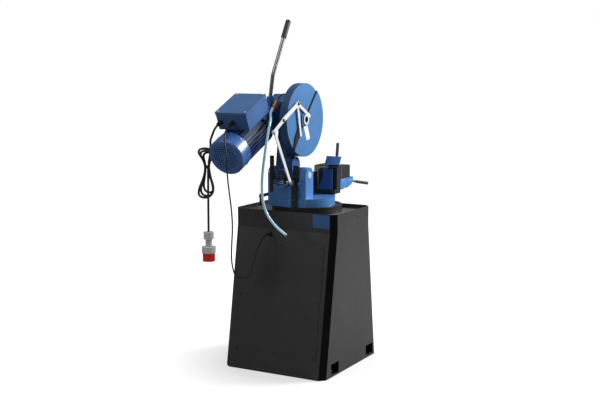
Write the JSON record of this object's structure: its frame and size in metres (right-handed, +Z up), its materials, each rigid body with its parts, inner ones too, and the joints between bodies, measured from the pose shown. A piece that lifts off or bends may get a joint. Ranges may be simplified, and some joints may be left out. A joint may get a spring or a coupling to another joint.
{
  "type": "metal cut-off saw",
  "caption": "Floor-standing circular cold saw on a tapered cabinet: a tilting motor head with linked blade guards, a mitre turntable and a hand-wheel bar vice.",
  "frame": {"origin": "centre of the four floor bolt holes, on the floor under the cabinet", "axes": "+Z up, +Y towards the motor at the back, -Y towards the operator, +X towards the motor's side"},
  "size_m": [0.5707, 0.9521, 1.6588],
  "materials": {
    "dark_paint": "dark grey textured paint",
    "tray_paint": "dark grey paint, worn",
    "black_rubber": "matt black",
    "black_plastic": "matt black",
    "black_iron": "black paint on cast iron",
    "black_paint": "black paint",
    "blue_paint": "mid blue gloss paint",
    "dark_blue_paint": "dark blue paint on castings",
    "box_paint": "blue paint",
    "light_blue_paint": "light blue gloss paint",
    "white_paint": "white paint",
    "red_paint": "red dip coating",
    "bright_steel": "turned or ground steel",
    "lamination": "stacked sheets",
    "bronze": "cut bronze",
    "brass": "bright brass",
    "chrome": "bright plating",
    "pale_hose": "pale milky hose",
    "grey_plastic": "matt grey",
    "red_plastic": "red"
  },
  "bodies": {
    "stand": {"cabinet": "dark_paint", "chip_tray": "tray_paint", "rear_panel": "dark_paint", "pump_cable_grommet": "black_rubber", "coolant_tank": "dark_paint", "coolant_pump": "black_plastic", "base_plate": "black_iron", "vice_bed": "black_iron", "fixed_jaws": "black_iron", "jaw_brackets": "blue_paint", "jaw_shield": "blue_paint", "pump_cable_lower": "black_rubber"},
    "turntable": {"turntable": "blue_paint", "pivot_pin": "bright_steel", "link_bracket": "black_paint", "anchor_pin": "bright_steel", "return_spring": "bright_steel"},
    "lock_lever": {"lock_lever": "black_paint"},
    "lower_link": {"lower_link": "white_paint"},
    "upper_link": {"upper_link": "white_paint"},
    "head": {"gearbox": "dark_blue_paint", "gearbox_cover": "dark_blue_paint", "bearings": "bright_steel", "motor_housing": "dark_blue_paint", "motor_stator": "lamination", "fan_cowl": "dark_blue_paint", "control_box": "box_paint", "control_box_lid": "box_paint", "cable_glands": "black_plastic", "fixed_guard": "light_blue_paint", "guard_hub_ring": "white_paint", "handle_tube": "chrome", "hand_grip": "black_rubber", "coolant_valve": "brass", "nozzle_tube": "black_plastic", "coolant_hose": "pale_hose", "pump_cable_upper": "black_rubber"},
    "mains_cord": {"mains_lead": "black_rubber", "mains_hank": "black_rubber", "mains_tail": "black_rubber", "cable_tie": "black_plastic", "mains_plug": "grey_plastic", "plug_shroud": "red_plastic"},
    "blade_spindle": {"blade": "bright_steel", "arbor": "bright_steel", "blade_clamp": "bright_steel", "worm_wheel": "bronze"},
    "motor_rotor": {"worm_shaft": "bright_steel", "rotor_core": "lamination", "cooling_fan": "black_plastic"},
    "moving_guard": {"moving_guard": "light_blue_paint", "guard_bracket": "white_paint"},
    "trigger": {"trigger_button": "black_plastic"},
    "valve_lever": {"valve_handle": "red_paint"},
    "vice_carrier": {"vice_carrier": "blue_paint", "moving_jaws": "black_iron", "jaw_faces": "bright_steel"},
    "vice_wheel": {"vice_spindle": "bright_steel", "vice_wheel": "chrome", "wheel_grips": "black_plastic"}
  },
  "joints": [
    {"name": "swivel", "type": "hinge", "parent": "stand", "child": "turntable", "pos_m": [-0.017, -0.154, 0.796], "axis": [0, 0, -1], "range_deg": [0, 45], "deforming": ["pump_cable_lower"]},
    {"name": "head_swing", "type": "hinge", "parent": "turntable", "child": "head", "pos_m": [0.01, 0.0925, 0.9274], "axis": [1, 0, 0], "range_deg": [0, 55], "stiffness_Nm_per_rad": 110, "deforming": ["return_spring", "coolant_hose", "pump_cable_upper", "mains_lead"]},
    {"name": "guard_swing", "type": "hinge", "parent": "head", "child": "moving_guard", "pos_m": [-0.017, 0.03661, 1.18552], "axis": [1, 0, 0], "range_deg": [-155.67, 0]},
    {"name": "lower_link_swing", "type": "hinge", "parent": "turntable", "child": "lower_link", "pos_m": [-0.053, 0.207, 0.901], "axis": [1, 0, 0], "range_deg": [0, 61.73]},
    {"name": "upper_link_swing", "type": "hinge", "parent": "lower_link", "child": "upper_link", "pos_m": [-0.048, 0.3496, 1.1438], "axis": [1, 0, 0], "range_deg": [0, 20.64]},
    {"name": "mains_hang", "type": "hinge", "parent": "head", "child": "mains_cord", "pos_m": [0.18, 0.45623, 1.17814], "axis": [1, 0, 0], "range_deg": [-41.27, 0]},
    {"name": "motor_spin", "type": "hinge", "parent": "head", "child": "motor_rotor", "pos_m": [0.117, 0.20173, 1.16708], "axis": [0, 0.91, -0.4147], "continuous": true},
    {"name": "blade_spin", "type": "hinge", "parent": "head", "child": "blade_spindle", "pos_m": [-0.017, 0.03661, 1.18552], "axis": [1, 0, 0], "continuous": true},
    {"name": "jaw_slide", "type": "slide", "parent": "stand", "child": "vice_carrier", "axis": [0, -1, 0], "range_m": [-0.06801, 0.01801]},
    {"name": "wheel_turn", "type": "hinge", "parent": "vice_carrier", "child": "vice_wheel", "pos_m": [0.015, -0.42, 0.857], "axis": [0, -1, 0], "range_deg": [-2448, 648]},
    {"name": "trigger_press", "type": "slide", "parent": "head", "child": "trigger", "axis": [0, 0.8632, 0.5049], "range_m": [0, 0.0024], "stiffness_N_per_m": 900},
    {"name": "valve_turn", "type": "hinge", "parent": "head", "child": "valve_lever", "pos_m": [0.038, 0.17756, 1.2532], "axis": [1, 0, 0], "range_deg": [0, 90]},
    {"name": "lock_turn", "type": "hinge", "parent": "turntable", "child": "lock_lever", "pos_m": [0.108, 0.016, 0.84], "axis": [0, 0, -1], "range_deg": [0, 50]}
  ],
  "couplings": [
    {"joint": "guard_swing", "follows": "head_swing", "ratio": -2.83},
    {"joint": "lower_link_swing", "follows": "head_swing", "ratio": 1.122},
    {"joint": "upper_link_swing", "follows": "head_swing", "ratio": 0.375},
    {"joint": "mains_hang", "follows": "head_swing", "ratio": -0.75},
    {"joint": "blade_spin", "follows": "motor_spin", "ratio": 0.041667},
    {"joint": "jaw_slide", "follows": "wheel_turn", "m_per_rad": 0.0015915}
  ]
}
